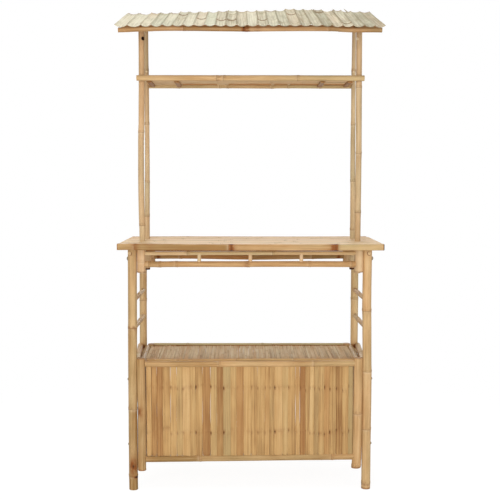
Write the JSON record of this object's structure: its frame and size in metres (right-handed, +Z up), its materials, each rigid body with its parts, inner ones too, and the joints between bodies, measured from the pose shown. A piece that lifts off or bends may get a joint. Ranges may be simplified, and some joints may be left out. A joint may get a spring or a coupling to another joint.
{
  "type": "bamboo bar hut",
  "caption": "Free-standing bamboo garden bar with a slatted counter on legs, a storage cabinet below, a high shelf and a small sloping cane roof.",
  "frame": {"origin": "on the floor, in the middle of the bar's footprint", "axes": "+Z up, -Y towards the customer in front of the counter, +X to the right for that customer"},
  "size_m": [1.136, 0.58, 2.1464],
  "materials": {
    "bamboo_pole": "dry natural bamboo culm, satin skin, honey tan with brown stains and pale node rings",
    "pale_bamboo": "scraped pale bamboo, matt, whitish tan",
    "counter_bamboo": "split and planed bamboo strips, satin, light tan with long fibres",
    "bamboo_slat": "split bamboo slats, matt, tan to brown, each one another tone",
    "weathered_cane": "weathered split canes, dull grey-beige with a green cast and dark cracks"
  },
  "bodies": {
    "root": {"apron_lower_rail_front": "bamboo_pole", "apron_lower_rail_rear": "bamboo_pole", "apron_post_front_left": "pale_bamboo", "apron_post_front_right": "pale_bamboo", "apron_post_rear_left": "pale_bamboo", "apron_post_rear_right": "pale_bamboo", "apron_spindle_left": "pale_bamboo", "apron_spindle_middle": "pale_bamboo", "apron_spindle_right": "pale_bamboo", "apron_upper_rail_front": "bamboo_pole", "apron_upper_rail_rear": "bamboo_pole", "cabinet_bottom_rail_front": "bamboo_pole", "cabinet_bottom_rail_left": "bamboo_pole", "cabinet_bottom_rail_rear": "bamboo_pole", "cabinet_bottom_rail_right": "bamboo_pole", "cabinet_floor": "bamboo_slat", "cabinet_front_panel": "bamboo_slat", "cabinet_left_panel": "bamboo_slat", "cabinet_post_front_left": "bamboo_pole", "cabinet_post_front_right": "bamboo_pole", "cabinet_post_rear_left": "bamboo_pole", "cabinet_post_rear_right": "bamboo_pole", "cabinet_right_panel": "bamboo_slat", "cabinet_top": "bamboo_slat", "cabinet_top_rail_front": "bamboo_pole", "cabinet_top_rail_left": "bamboo_pole", "cabinet_top_rail_rear": "bamboo_pole", "cabinet_top_rail_right": "bamboo_pole", "counter_board_1": "counter_bamboo", "counter_board_2": "counter_bamboo", "counter_board_3": "counter_bamboo", "counter_rail_front": "counter_bamboo", "counter_rail_rear": "counter_bamboo", "leg_front_left": "bamboo_pole", "leg_front_right": "bamboo_pole", "leg_rear_left": "bamboo_pole", "leg_rear_right": "bamboo_pole", "rafter_left": "bamboo_pole", "rafter_right": "bamboo_pole", "roof_cover_left": "weathered_cane", "roof_cover_right": "weathered_cane", "roof_rail_front": "bamboo_pole", "roof_rail_rear": "bamboo_pole", "rung_left_1": "bamboo_pole", "rung_left_2": "bamboo_pole", "rung_left_3": "bamboo_pole", "rung_right_1": "bamboo_pole", "rung_right_2": "bamboo_pole", "rung_right_3": "bamboo_pole", "shelf_batten_left": "bamboo_slat", "shelf_batten_right": "bamboo_slat", "shelf_deck": "counter_bamboo", "shelf_rail_front": "bamboo_pole", "shelf_rail_rear": "bamboo_pole", "side_rail_left": "bamboo_pole", "side_rail_right": "bamboo_pole", "upper_pole_front_left": "bamboo_pole", "upper_pole_front_right": "bamboo_pole", "upper_pole_rear_left": "bamboo_pole", "upper_pole_rear_right": "bamboo_pole"}
  },
  "joints": []
}
